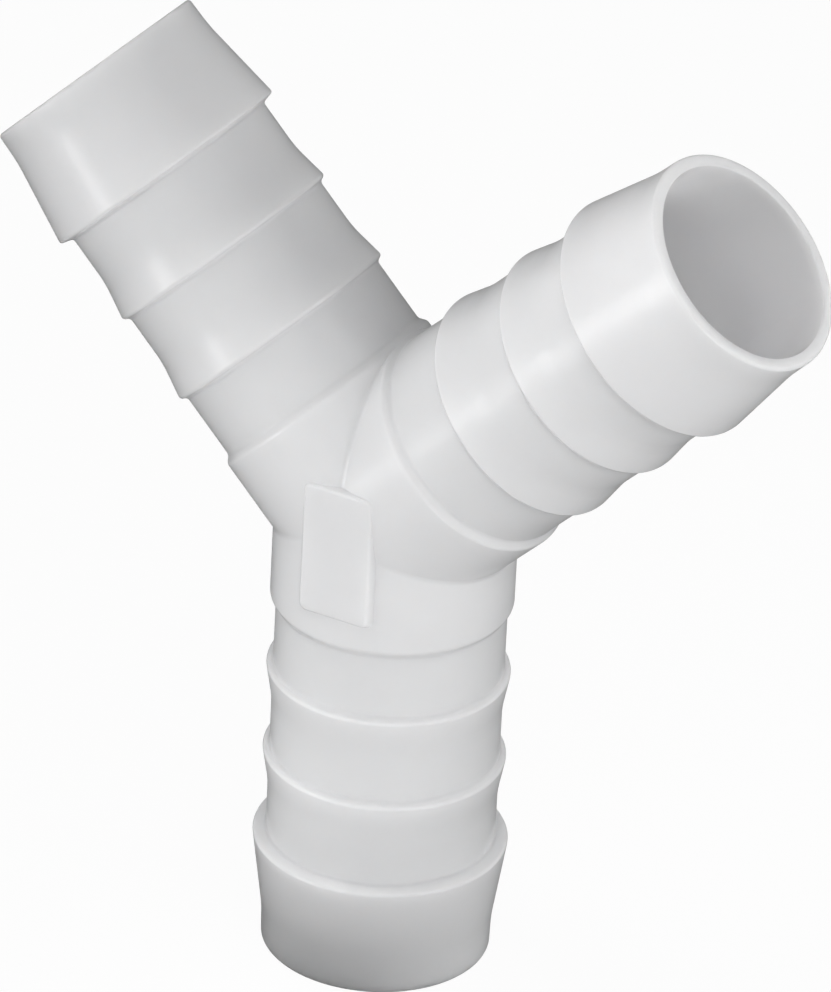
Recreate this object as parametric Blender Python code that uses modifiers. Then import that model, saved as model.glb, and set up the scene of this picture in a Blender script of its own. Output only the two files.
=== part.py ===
# Three-way hose connector in one moulding.
#
# Two upper arms and one lower arm meet in a hub. Each arm is a hollow spigot with a collar at
# the hub, two small barbs and a large end barb. The bores meet inside the hub.
#
# Frame: +Z up, front towards -Y, Z = 0 on the rim of the lower arm, metres throughout.

import math

import bmesh
import bpy
from mathutils import Matrix, Vector

MM = 0.001

# Arms
ARM_LENGTH = 42.0 * MM
SPREAD_ANGLE = math.radians(90.0)
BORE_RADIUS = 8.4 * MM
WALL = 1.05 * MM

# Collar at the hub end of each arm
COLLAR_RISE = 0.5 * MM
COLLAR_LENGTH = 9.7 * MM
COLLAR_STEP_RUN = 0.6 * MM

# Small barbs: a long ramp towards the mouth and a steep shoulder towards the hub
SMALL_BARB_COUNT = 2
SMALL_BARB_RISE = 0.57 * MM
SMALL_BARB_RAMP = 3.2 * MM
SMALL_BARB_SHOULDER = 0.25 * MM
FIRST_BARB_GAP = 6.5 * MM

# End barb: a shoulder, a cone and a nearly straight lead at the mouth
END_BARB_RISE = 1.1 * MM
END_BARB_LENGTH = 10.0 * MM
END_BARB_SHOULDER = 0.3 * MM
LEAD_LENGTH = 2.7 * MM
LEAD_DRAFT = 0.06 * MM

# Rounded edges
LIP_OUTER_ROUND = 0.3 * MM
LIP_INNER_ROUND = 0.15 * MM
BARB_ROUND = 0.3 * MM
COLLAR_ROUND = 0.25 * MM
ROUND_STEPS = 2

# Plain raised plate on the front of the hub
PLATE_WIDTH = 6.2 * MM
PLATE_HEIGHT = 11.5 * MM
PLATE_PROUD = 0.2 * MM
PLATE_DROP = 1.5 * MM
PLATE_CORNER_ROUND = 0.4 * MM
PLATE_EDGE_ROUND = 0.12 * MM

# Smoothness of the turned forms, a multiple of four so that the arms' facets meet in the hub
FACETS = 64
WELD_DISTANCE = 0.002 * MM
SMOOTH_ANGLE = math.radians(35.0)

# Radii and heights that follow from the sizes above
NECK_RADIUS = BORE_RADIUS + WALL
COLLAR_RADIUS = NECK_RADIUS + COLLAR_RISE
SMALL_BARB_RADIUS = NECK_RADIUS + SMALL_BARB_RISE
END_BARB_RADIUS = NECK_RADIUS + END_BARB_RISE
END_BARB_CREST = ARM_LENGTH - END_BARB_LENGTH
FIRST_BARB_CREST = COLLAR_LENGTH + FIRST_BARB_GAP
BARB_PITCH = (END_BARB_CREST - FIRST_BARB_CREST) / SMALL_BARB_COUNT


def clear_scene():
    for old in list(bpy.data.objects):
        bpy.data.objects.remove(old, do_unlink=True)


def new_collection(name):
    group = bpy.data.collections.new(name)
    bpy.context.scene.collection.children.link(group)
    return group


def natural_plastic():
    """Uncoloured engineering plastic, milky white with a satin skin."""
    material = bpy.data.materials.new("natural_white_plastic")
    material.use_nodes = True
    shader = material.node_tree.nodes["Principled BSDF"]
    shader.inputs["Base Color"].default_value = (0.72, 0.73, 0.74, 1.0)
    shader.inputs["Roughness"].default_value = 0.38
    shader.inputs["Metallic"].default_value = 0.0
    shader.inputs["IOR"].default_value = 1.48
    return material


def round_corner(before, corner, after, radius):
    """Points of an arc of the given radius that rounds one corner of a profile."""
    back = before - corner
    ahead = after - corner
    half_angle = back.angle(ahead) / 2.0
    if math.pi / 2.0 - half_angle < math.radians(1.0):
        return [corner]
    reach = radius / math.tan(half_angle)
    reach = min(reach, 0.45 * back.length, 0.45 * ahead.length)
    arc_radius = reach * math.tan(half_angle)
    start = corner + back.normalized() * reach
    centre = corner + (back.normalized() + ahead.normalized()).normalized() * (
        arc_radius / math.sin(half_angle)
    )
    sweep = math.pi - 2.0 * half_angle
    first = start - centre
    turn = 1.0 if first.cross(corner - centre) > 0.0 else -1.0
    points = []
    for step in range(ROUND_STEPS + 1):
        angle = turn * sweep * step / ROUND_STEPS
        points.append(centre + Matrix.Rotation(angle, 2) @ first)
    return points


def rounded_profile(corners):
    """A profile whose corners, given as (radius, height, rounding), are replaced by arcs."""
    places = [Vector((radius, height)) for radius, height, rounding in corners]
    points = [places[0]]
    for index in range(1, len(corners) - 1):
        rounding = corners[index][2]
        if rounding > 0.0:
            points += round_corner(places[index - 1], places[index], places[index + 1], rounding)
        else:
            points.append(places[index])
    points.append(places[-1])
    return points


def arm_corners():
    """Profile of one arm standing on the hub centre: up the bore, over the lip, down outside."""
    hub_end = -WALL
    corners = [
        (BORE_RADIUS, hub_end, 0.0),
        (BORE_RADIUS, ARM_LENGTH, LIP_INNER_ROUND),
        (NECK_RADIUS, ARM_LENGTH, LIP_OUTER_ROUND),
        (NECK_RADIUS + LEAD_DRAFT, ARM_LENGTH - LEAD_LENGTH, 0.0),
        (END_BARB_RADIUS, END_BARB_CREST, BARB_ROUND),
        (NECK_RADIUS, END_BARB_CREST - END_BARB_SHOULDER, 0.0),
    ]
    for number in reversed(range(SMALL_BARB_COUNT)):
        crest = FIRST_BARB_CREST + number * BARB_PITCH
        corners.append((NECK_RADIUS, crest + SMALL_BARB_RAMP, 0.0))
        corners.append((SMALL_BARB_RADIUS, crest, BARB_ROUND))
        corners.append((NECK_RADIUS, crest - SMALL_BARB_SHOULDER, 0.0))
    corners.append((NECK_RADIUS, COLLAR_LENGTH + COLLAR_STEP_RUN, 0.0))
    corners.append((COLLAR_RADIUS, COLLAR_LENGTH, COLLAR_ROUND))
    corners.append((COLLAR_RADIUS, hub_end, 0.0))
    return corners


def turned_arm(name, lean):
    """One arm turned about its own axis, then leant over in the XZ plane by the given angle."""
    mesh = bpy.data.meshes.new(name)
    points = [(point.x, 0.0, point.y) for point in rounded_profile(arm_corners())]
    edges = [(index, index + 1) for index in range(len(points) - 1)]
    mesh.from_pydata(points, edges, [])
    arm = bpy.data.objects.new(name, mesh)
    bpy.context.scene.collection.objects.link(arm)
    screw = arm.modifiers.new("turn", "SCREW")
    screw.axis = "Z"
    screw.angle = 2.0 * math.pi
    screw.steps = FACETS
    screw.render_steps = FACETS
    screw.use_merge_vertices = True
    screw.merge_threshold = WELD_DISTANCE
    arm.rotation_euler = (0.0, lean, 0.0)
    return arm


def evaluated_mesh(thing):
    """The object's mesh after its modifiers, in world coordinates."""
    bpy.context.view_layer.update()
    seen = thing.evaluated_get(bpy.context.evaluated_depsgraph_get())
    mesh = bpy.data.meshes.new_from_object(seen)
    mesh.transform(thing.matrix_world)
    return mesh


def cut_at_neighbour(shape, axis, neighbour_axis):
    """Mitre an arm where it meets its neighbour, on the plane midway between their axes."""
    bmesh.ops.bisect_plane(
        shape,
        geom=shape.verts[:] + shape.edges[:] + shape.faces[:],
        dist=WELD_DISTANCE / 20.0,
        plane_co=(0.0, 0.0, 0.0),
        plane_no=(neighbour_axis - axis).normalized(),
        clear_outer=True,
    )


def three_way_tube(name, leans):
    """The three arms, each mitred against the other two and welded along the mitres."""
    body_mesh = bpy.data.meshes.new(name)
    body = bmesh.new()
    axes = [Vector((math.sin(lean), 0.0, math.cos(lean))) for lean in leans]
    for number, lean in enumerate(leans):
        arm = turned_arm(f"arm_{number}", lean)
        mesh = evaluated_mesh(arm)
        shape = bmesh.new()
        shape.from_mesh(mesh)
        for other in range(len(axes)):
            if other != number:
                cut_at_neighbour(shape, axes[number], axes[other])
        shape.to_mesh(mesh)
        shape.free()
        body.from_mesh(mesh)
        bpy.data.meshes.remove(mesh)
        bpy.data.objects.remove(arm, do_unlink=True)
    bmesh.ops.remove_doubles(body, verts=body.verts[:], dist=WELD_DISTANCE)
    bmesh.ops.recalc_face_normals(body, faces=body.faces[:])
    body.to_mesh(body_mesh)
    body.free()
    return body_mesh


def raised_plate(name, hub_height):
    """A flat pad, rooted in the hub wall and standing a little proud of it."""
    front = -(COLLAR_RADIUS + PLATE_PROUD)
    hub_surface_at_edge = math.sqrt(COLLAR_RADIUS**2 - (PLATE_WIDTH / 2.0) ** 2)
    back = -(hub_surface_at_edge + BORE_RADIUS) / 2.0
    middle = Vector((0.0, (front + back) / 2.0, hub_height - PLATE_DROP))
    bpy.ops.mesh.primitive_cube_add(size=1.0, location=middle)
    plate = bpy.context.object
    plate.name = name
    plate.dimensions = (PLATE_WIDTH, back - front, PLATE_HEIGHT)
    bpy.ops.object.transform_apply(location=False, rotation=False, scale=True)
    shape = bmesh.new()
    shape.from_mesh(plate.data)
    corners = [e for e in shape.edges if abs(e.verts[0].co.y - e.verts[1].co.y) > PLATE_PROUD]
    bmesh.ops.bevel(
        shape, geom=corners, offset=PLATE_CORNER_ROUND, segments=ROUND_STEPS + 1, affect="EDGES"
    )
    face_edges = [
        e for e in shape.edges if all(v.co.y < 0.0 for v in e.verts) and len(e.link_faces) == 2
        and any(abs(f.normal.y) > 0.9 for f in e.link_faces)
    ]
    bmesh.ops.bevel(
        shape, geom=face_edges, offset=PLATE_EDGE_ROUND, segments=ROUND_STEPS, affect="EDGES"
    )
    shape.to_mesh(plate.data)
    shape.free()
    return plate


def main():
    clear_scene()
    parts = new_collection("hose_y_connector")
    helpers = new_collection("joining_shapes")

    upper_lean = SPREAD_ANGLE / 2.0
    leans = (upper_lean, -upper_lean, math.pi)
    mesh = three_way_tube("y_connector_body", leans)
    connector = bpy.data.objects.new("y_connector_body", mesh)
    parts.objects.link(connector)
    connector.location = (0.0, 0.0, ARM_LENGTH)
    mesh.materials.append(natural_plastic())

    plate = raised_plate("raised_plate_blank", ARM_LENGTH)
    for owner in list(plate.users_collection):
        owner.objects.unlink(plate)
    helpers.objects.link(plate)
    plate.hide_render = True
    plate.display_type = "WIRE"

    join = connector.modifiers.new("raised_plate", "BOOLEAN")
    join.operation = "UNION"
    join.object = plate

    mesh.shade_smooth()
    mesh.set_sharp_from_angle(angle=SMOOTH_ANGLE)
    bpy.context.view_layer.update()


main()
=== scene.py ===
import math

import bmesh
import bpy
from mathutils import Matrix, Vector


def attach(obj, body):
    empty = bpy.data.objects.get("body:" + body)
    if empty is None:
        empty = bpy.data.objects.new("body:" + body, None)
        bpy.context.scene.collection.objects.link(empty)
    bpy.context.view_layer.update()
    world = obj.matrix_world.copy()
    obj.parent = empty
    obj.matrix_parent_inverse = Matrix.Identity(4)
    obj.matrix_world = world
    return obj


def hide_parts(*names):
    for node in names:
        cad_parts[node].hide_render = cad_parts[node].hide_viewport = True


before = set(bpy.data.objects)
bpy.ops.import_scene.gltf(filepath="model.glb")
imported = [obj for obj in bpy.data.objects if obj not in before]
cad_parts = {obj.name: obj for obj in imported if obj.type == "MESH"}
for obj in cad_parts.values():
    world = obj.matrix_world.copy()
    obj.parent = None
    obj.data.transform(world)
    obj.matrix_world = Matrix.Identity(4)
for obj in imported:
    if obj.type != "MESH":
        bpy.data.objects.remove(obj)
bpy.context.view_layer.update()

MM = 0.001

# Sizes of the moulding
HUB_HEIGHT = 42.0 * MM
ARM_LENGTH = 42.0 * MM
LEAN = math.radians(45.0)
BORE_RADIUS = 8.4 * MM
NECK_RADIUS = 9.45 * MM
COLLAR_RADIUS = 9.95 * MM
COLLAR_LENGTH = 9.7 * MM
COLLAR_STEP = 0.6 * MM
SMALL_BARB_RADIUS = 10.02 * MM
SMALL_BARB_RAMP = 3.2 * MM
SMALL_BARB_SHOULDER = 0.25 * MM
SMALL_BARB_CRESTS = (24.1 * MM, 16.2 * MM)
END_BARB_RADIUS = 10.54 * MM
END_BARB_CREST = 32.0 * MM
END_BARB_SHOULDER = 0.3 * MM
LEAD_LENGTH = 2.7 * MM
LEAD_DRAFT = 0.06 * MM
PLATE_WIDTH = 6.2 * MM
PLATE_HEIGHT = 11.5 * MM
PLATE_PROUD = 0.12 * MM
PLATE_DROP = 1.5 * MM
PLATE_ROOT_GROWTH = (1.15, 1.0, 1.08)

# Widths of the rounded edges
BORE_EDGE_ROUND = 0.15 * MM
RIM_ROUND = 0.3 * MM
RAMP_FOOT_ROUND = 0.8 * MM
END_CREST_ROUND = 0.22 * MM
SMALL_CREST_ROUND = 0.25 * MM
COLLAR_ROUND = 0.2 * MM
CREASE_ROUND = 0.3 * MM
PLATE_CORNER_ROUND = 0.6 * MM
PLATE_EDGE_ROUND = 0.2 * MM

# The rounding of a crease between two arms fades out from the larger to the smaller of these
# angles in degrees, and above the hub also of these distances from the plane of the arms
CREASE_FADE_ANGLES = (6.0, 22.0)
CREASE_FADE_DEPTHS = (3.9 * MM, 6.0 * MM)

# How the arms are made: sides of a ring, height of an arm's hub end before it is mitred, the
# gap that is welded shut, and how near a point is to a ring or a face that it counts as on
SIDES = 144
HUB_END = -1.0 * MM
WELD = 0.002 * MM
NEAR = 0.01 * MM

# Floor: its side in metres, the share of its white that no shadow takes away, and the stand
FLOOR_SIZE = 6.0
FLOOR_GLOW = 0.95
STAND_RADIUS = 42.0 * MM

# Lamps: the height that they face, then each kind's side and distance from there in metres
LAMP_HEIGHT = 45.0 * MM
NEAR_LAMP = {"size": 0.1, "distance": 0.22, "mirrored": False}
BROAD_LAMP = {"size": 0.6, "distance": 0.9, "mirrored": False}
SPARK_LAMP = {"size": 0.3, "distance": 0.9, "mirrored": True}


def srgb(code):
    """An sRGB hex colour as linear RGBA."""
    levels = [int(code[i : i + 2], 16) / 255.0 for i in (1, 3, 5)]
    linear = [c / 12.92 if c <= 0.04045 else ((c + 0.055) / 1.055) ** 2.4 for c in levels]
    return (*linear, 1.0)


def add_node(tree, kind, links=(), **settings):
    """Adds a node; settings name its properties or inputs, links pair an input with a socket."""
    node = tree.nodes.new(kind)
    for name, value in settings.items():
        if hasattr(node, name):
            setattr(node, name, value)
        else:
            node.inputs[name.replace("_", " ")].default_value = value
    for name, socket in links:
        tree.links.new(socket, node.inputs[name])
    return node


def deselect_all():
    bpy.ops.object.select_all(action="DESELECT")


def only(thing):
    """Makes this the one selected and active object."""
    deselect_all()
    thing.select_set(True)
    bpy.context.view_layer.objects.active = thing


def apply_modifier(thing, kind, **settings):
    only(thing)
    modifier = thing.modifiers.new(kind.lower(), kind)
    for name, value in settings.items():
        setattr(modifier, name, value)
    bpy.ops.object.modifier_apply(modifier=modifier.name)


def select_edges(thing, choose):
    """Leaves selected, in edit mode, only the edges that the rule picks."""
    bpy.ops.mesh.select_mode(type="EDGE")
    bpy.ops.mesh.select_all(action="DESELECT")
    shape = bmesh.from_edit_mesh(thing.data)
    for edge in shape.edges:
        if choose(edge):
            edge.select_set(True)
    bmesh.update_edit_mesh(thing.data)


def arm_rings():
    """Rings of one arm, from the hub end of the bore over the lip and down the outside. Each is
    (radius, height above the hub's centre, width of its rounding, steps of its rounding)."""
    rings = [
        (BORE_RADIUS, HUB_END, 0.0, 0),
        (BORE_RADIUS, ARM_LENGTH, BORE_EDGE_ROUND, 3),
        (NECK_RADIUS, ARM_LENGTH, RIM_ROUND, 5),
        (NECK_RADIUS + LEAD_DRAFT, ARM_LENGTH - LEAD_LENGTH, RAMP_FOOT_ROUND, 4),
        (END_BARB_RADIUS, END_BARB_CREST, END_CREST_ROUND, 5),
        (NECK_RADIUS, END_BARB_CREST - END_BARB_SHOULDER, END_CREST_ROUND, 4),
    ]
    for crest in SMALL_BARB_CRESTS:
        rings.append((NECK_RADIUS, crest + SMALL_BARB_RAMP, RAMP_FOOT_ROUND, 4))
        rings.append((SMALL_BARB_RADIUS, crest, SMALL_CREST_ROUND, 5))
        rings.append((NECK_RADIUS, crest - SMALL_BARB_SHOULDER, SMALL_CREST_ROUND, 4))
    rings.append((NECK_RADIUS, COLLAR_LENGTH + COLLAR_STEP, COLLAR_ROUND, 3))
    rings.append((COLLAR_RADIUS, COLLAR_LENGTH, COLLAR_ROUND, 4))
    rings.append((COLLAR_RADIUS, HUB_END, 0.0, 0))
    return rings


def on_ring(edge, radius, height):
    """True for an edge of the ring with this radius and height."""
    return all(
        abs(v.co.z - height) < NEAR and abs(v.co.xy.length - radius) < NEAR for v in edge.verts
    )


def turned_arm(name):
    """One upright arm: a ring of the bore, extruded and scaled ring by ring, edges rounded."""
    rings = arm_rings()
    deselect_all()
    bpy.ops.mesh.primitive_circle_add(
        vertices=SIDES, radius=rings[0][0], fill_type="NOTHING", location=(0.0, 0.0, rings[0][1])
    )
    arm = bpy.context.object
    arm.name = name
    bpy.ops.object.transform_apply(location=True, rotation=False, scale=False)
    bpy.ops.object.mode_set(mode="EDIT")
    bpy.ops.mesh.select_all(action="SELECT")
    for before, ring in zip(rings, rings[1:]):
        rise = (0.0, 0.0, ring[1] - before[1])
        bpy.ops.mesh.extrude_edges_move(TRANSFORM_OT_translate={"value": rise})
        grow = ring[0] / before[0]
        bpy.ops.transform.resize(value=(grow, grow, 1.0), center_override=(0.0, 0.0, ring[1]))
    for radius, height, rounding, steps in rings:
        if rounding == 0.0:
            continue
        select_edges(arm, lambda edge: on_ring(edge, radius, height))
        bpy.ops.mesh.bevel(
            offset=rounding, segments=steps, affect="EDGES", clamp_overlap=False, profile=0.5
        )
    bpy.ops.mesh.select_all(action="SELECT")
    bpy.ops.mesh.normals_make_consistent(inside=False)
    bpy.ops.object.mode_set(mode="OBJECT")
    return arm


def mitre(arm, axis, others):
    """Cuts the hub end of an arm on the planes midway between its axis and the other two."""
    only(arm)
    bpy.ops.object.mode_set(mode="EDIT")
    for other in others:
        bpy.ops.mesh.select_all(action="SELECT")
        bpy.ops.mesh.bisect(
            plane_co=(0.0, 0.0, 0.0),
            plane_no=(other - axis).normalized(),
            clear_outer=True,
            threshold=WELD / 20.0,
        )
    bpy.ops.object.mode_set(mode="OBJECT")


def ramp(value, low, high):
    """0 below low, 1 above high and a smooth rise between."""
    t = min(max((value - low) / (high - low), 0.0), 1.0)
    return t * t * (3.0 - 2.0 * t)


def weigh_creases(body, axes):
    """Gives the hub's outer creases a bevel weight that fades where they flatten out."""
    midplanes = [(axes[i] - axes[j]).normalized() for i, j in ((0, 1), (1, 2), (2, 0))]
    middle_of_wall = (BORE_RADIUS + COLLAR_RADIUS) / 2.0
    on_plane = 0.005 * MM
    shape = bmesh.from_edit_mesh(body.data)
    weights = shape.edges.layers.float.new("bevel_weight_edge")
    for edge in shape.edges:
        middle = (edge.verts[0].co + edge.verts[1].co) / 2.0
        in_plane = any(
            all(abs(v.co.dot(normal)) < on_plane for v in edge.verts) for normal in midplanes
        )
        from_axis = min((middle - axis * max(middle.dot(axis), 0.0)).length for axis in axes)
        if not in_plane or from_axis < middle_of_wall or len(edge.link_faces) != 2:
            continue
        fade = ramp(math.degrees(edge.calc_face_angle(0.0)), *CREASE_FADE_ANGLES)
        if middle.z > 0.0:
            fade *= ramp(abs(middle.y), *CREASE_FADE_DEPTHS)
        edge[weights] = fade
    bmesh.update_edit_mesh(body.data)


def connector_body():
    """The three arms, mitred and welded in the hub, with softened creases between them."""
    leans = (LEAN, -LEAN, math.pi)
    axes = [Vector((math.sin(lean), 0.0, math.cos(lean))) for lean in leans]
    pattern = turned_arm("arm_pattern")
    arms = []
    for number, lean in enumerate(leans):
        arm = pattern.copy()
        arm.data = pattern.data.copy()
        arm.name = f"arm_{number}"
        bpy.context.scene.collection.objects.link(arm)
        arm.rotation_euler = (0.0, lean, 0.0)
        only(arm)
        bpy.ops.object.transform_apply(location=False, rotation=True, scale=False)
        mitre(arm, axes[number], [axis for i, axis in enumerate(axes) if i != number])
        arms.append(arm)
    bpy.data.objects.remove(pattern, do_unlink=True)

    deselect_all()
    for arm in arms:
        arm.select_set(True)
    bpy.context.view_layer.objects.active = arms[0]
    bpy.ops.object.join()
    body = bpy.context.object
    body.name = "connector_moulding"
    bpy.ops.object.mode_set(mode="EDIT")
    bpy.ops.mesh.select_all(action="SELECT")
    bpy.ops.mesh.remove_doubles(threshold=WELD)
    bpy.ops.mesh.normals_make_consistent(inside=False)

    weigh_creases(body, axes)
    bpy.ops.object.mode_set(mode="OBJECT")
    apply_modifier(
        body,
        "BEVEL",
        width=CREASE_ROUND,
        segments=4,
        limit_method="WEIGHT",
        use_clamp_overlap=False,
    )
    bpy.ops.object.mode_set(mode="EDIT")
    bpy.ops.mesh.select_all(action="SELECT")
    bpy.ops.transform.translate(value=(0.0, 0.0, HUB_HEIGHT))
    bpy.ops.object.mode_set(mode="OBJECT")
    return body


def raised_plate():
    """The flat plate on the hub's front, with sloping sides, rounded corners and a soft edge."""
    front = -(COLLAR_RADIUS + PLATE_PROUD)
    back = -(math.sqrt(COLLAR_RADIUS**2 - (PLATE_WIDTH / 2.0) ** 2) + BORE_RADIUS) / 2.0
    deselect_all()
    bpy.ops.mesh.primitive_cube_add(
        size=1.0, location=(0.0, (front + back) / 2.0, HUB_HEIGHT - PLATE_DROP)
    )
    plate = bpy.context.object
    plate.name = "raised_plate"
    plate.scale = (PLATE_WIDTH, back - front, PLATE_HEIGHT)
    bpy.ops.object.transform_apply(location=True, rotation=False, scale=True)
    bpy.ops.object.mode_set(mode="EDIT")
    select_edges(plate, lambda edge: all(v.co.y > back - NEAR for v in edge.verts))
    bpy.ops.transform.resize(
        value=PLATE_ROOT_GROWTH, center_override=(0.0, back, HUB_HEIGHT - PLATE_DROP)
    )
    select_edges(plate, lambda edge: abs(edge.verts[0].co.y - edge.verts[1].co.y) > NEAR)
    bpy.ops.mesh.bevel(offset=PLATE_CORNER_ROUND, segments=6, affect="EDGES")
    select_edges(plate, lambda edge: all(v.co.y < front + NEAR for v in edge.verts))
    bpy.ops.mesh.bevel(offset=PLATE_EDGE_ROUND, segments=5, affect="EDGES")
    bpy.ops.object.mode_set(mode="OBJECT")
    return plate


def per_mm(size):
    """The scale of a noise whose features are about this many millimetres across."""
    return 1.0 / (size * MM)


def natural_plastic():
    """Natural acetal, injection moulded. Milky right through, so light bleeds through its thin
    walls; a satin skin from the polished mould, faintly clouded and wavy where the melt flowed."""
    material = bpy.data.materials.new("natural_acetal_moulded")
    material.use_nodes = True
    tree = material.node_tree
    tree.nodes.clear()
    place = ("Vector", add_node(tree, "ShaderNodeTexCoord").outputs["Object"])
    clouds = add_node(tree, "ShaderNodeTexNoise", [place], Scale=per_mm(7.0), Detail=3.0)
    tint = add_node(tree, "ShaderNodeValToRGB", [("Fac", clouds.outputs["Fac"])])
    for end, position, code in zip(tint.color_ramp.elements, (0.2, 0.8), ("#E6E6E7", "#EAEAEB")):
        end.position = position
        end.color = srgb(code)
    flow = add_node(tree, "ShaderNodeTexNoise", [place], Scale=per_mm(2.5), Detail=2.0)
    skin = add_node(
        tree,
        "ShaderNodeBump",
        [("Height", flow.outputs["Fac"])],
        Strength=1.0,
        Distance=0.012 * MM,
    )
    gloss = add_node(
        tree,
        "ShaderNodeMapRange",
        [("Value", clouds.outputs["Fac"])],
        To_Min=0.23,
        To_Max=0.28,
    )
    shader = add_node(
        tree,
        "ShaderNodeBsdfPrincipled",
        [
            ("Base Color", tint.outputs["Color"]),
            ("Roughness", gloss.outputs["Result"]),
            ("Normal", skin.outputs["Normal"]),
        ],
        IOR=1.48,
        Subsurface_Weight=1.0,
        Subsurface_Radius=(1.0, 0.97, 0.95),
        Subsurface_Scale=2.2 * MM,
    )
    add_node(tree, "ShaderNodeOutputMaterial", [("Surface", shader.outputs["BSDF"])])
    return material


def white_floor():
    """To the camera it is a white floor with a faint shadow. To the lamps it is a small dark
    stand under the connector, open beyond that, so that the low lamps reach the arms."""
    deselect_all()
    bpy.ops.mesh.primitive_plane_add(size=FLOOR_SIZE, location=(0.0, 0.0, 0.0))
    floor = bpy.context.object
    floor.name = "floor"
    material = bpy.data.materials.new("white_floor_with_stand")
    material.use_nodes = True
    tree = material.node_tree
    tree.nodes.clear()
    white = add_node(tree, "ShaderNodeEmission", Color=(1.0, 1.0, 1.0, 1.0), Strength=1.0)
    paper = add_node(tree, "ShaderNodeBsdfDiffuse", Color=srgb("#F0F0F0"))
    seen = add_node(tree, "ShaderNodeMixShader", [(1, paper.outputs[0]), (2, white.outputs[0])])
    seen.inputs[0].default_value = FLOOR_GLOW
    centre = add_node(tree, "ShaderNodeTexCoord").outputs["Object"]
    away = add_node(tree, "ShaderNodeVectorMath", [("Vector", centre)], operation="LENGTH")
    beyond = add_node(
        tree, "ShaderNodeMath", [(0, away.outputs["Value"])], operation="GREATER_THAN"
    )
    beyond.inputs[1].default_value = STAND_RADIUS
    stand = add_node(tree, "ShaderNodeBsdfDiffuse", Color=srgb("#202020"))
    clear = add_node(tree, "ShaderNodeBsdfTransparent")
    unseen = add_node(
        tree,
        "ShaderNodeMixShader",
        [(0, beyond.outputs[0]), (1, stand.outputs[0]), (2, clear.outputs[0])],
    )
    path = add_node(tree, "ShaderNodeLightPath")
    floor_mix = add_node(
        tree,
        "ShaderNodeMixShader",
        [(0, path.outputs["Is Camera Ray"]), (1, unseen.outputs[0]), (2, seen.outputs[0])],
    )
    add_node(tree, "ShaderNodeOutputMaterial", [("Surface", floor_mix.outputs[0])])
    floor.data.materials.append(material)


def aim(thing, target, azimuth, elevation, distance, roll=0.0):
    """Places a camera or lamp on a sphere round the target, looking at it."""
    az, el = math.radians(azimuth), math.radians(elevation)
    way = Vector((math.sin(az) * math.cos(el), -math.cos(az) * math.cos(el), math.sin(el)))
    thing.location = target + way * distance
    turn = way.to_track_quat("Z", "Y").to_matrix() @ Matrix.Rotation(math.radians(roll), 3, "Z")
    thing.rotation_euler = turn.to_euler()


def softbox(name, azimuth, elevation, power, size, distance, mirrored):
    """A square panel lamp that faces the hub. The plastic's gloss shows it only if mirrored."""
    lamp = bpy.data.lights.new(name, "AREA")
    lamp.shape = "SQUARE"
    lamp.size = size
    lamp.energy = power
    thing = bpy.data.objects.new(name, lamp)
    thing.visible_glossy = mirrored
    bpy.context.scene.collection.objects.link(thing)
    aim(thing, Vector((0.0, 0.0, LAMP_HEIGHT)), azimuth, elevation, distance)


# Object
body = connector_body()
plate = raised_plate()
apply_modifier(body, "BOOLEAN", operation="UNION", object=plate)
bpy.data.objects.remove(plate, do_unlink=True)
only(body)
bpy.ops.object.shade_smooth_by_angle(angle=math.radians(32.0))
apply_modifier(body, "WEIGHTED_NORMAL", mode="FACE_AREA", weight=50, keep_sharp=True)
body.data.materials.clear()
body.data.materials.append(natural_plastic())
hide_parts("y_connector_body")
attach(body, "root")

# Stage; each lamp has its azimuth and elevation in degrees and its power in watts
white_floor()
softbox("near_low_front", 0.0, -20.0, 0.275, **NEAR_LAMP)
softbox("near_upper_right", 35.0, 45.0, 0.11, **NEAR_LAMP)
softbox("near_right", 105.0, 0.0, 0.19, **NEAR_LAMP)
softbox("near_right_front", 70.0, 20.0, 0.09, **NEAR_LAMP)
softbox("left", -50.0, 10.0, 0.35, **BROAD_LAMP)
softbox("upper_left", -90.0, 42.0, 4.05, **BROAD_LAMP)
softbox("overhead", 0.0, 72.0, 1.05, **BROAD_LAMP)
softbox("right_behind", 120.0, 10.0, 1.4, **BROAD_LAMP)
softbox("low_behind", -165.0, -20.0, 3.5, **BROAD_LAMP)
softbox("spark_left", -36.0, -3.0, 1.35, **SPARK_LAMP)
softbox("spark_right", 75.0, 47.0, 0.22, **SPARK_LAMP)

# World: white to the camera, and no light on the object
world = bpy.data.worlds.new("white_studio")
bpy.context.scene.world = world
world.use_nodes = True
air = world.node_tree
air_path = add_node(air, "ShaderNodeLightPath")
air.nodes["Background"].inputs["Color"].default_value = (1.0, 1.0, 1.0, 1.0)
air.links.new(air_path.outputs["Is Camera Ray"], air.nodes["Background"].inputs["Strength"])

# Camera: a long lens from the right and above, with a slight roll
lens = bpy.data.cameras.new("camera")
lens.sensor_width = 36.0
lens.lens = 386.2
lens.clip_end = 20.0
camera = bpy.data.objects.new("camera", lens)
bpy.context.scene.collection.objects.link(camera)
view_centre = Vector((0.00146, 0.00038, 0.04168))
aim(camera, view_centre, azimuth=28.03, elevation=28.94, distance=0.8599, roll=2.98)
bpy.context.scene.camera = camera
bpy.context.scene.view_settings.view_transform = "Standard"
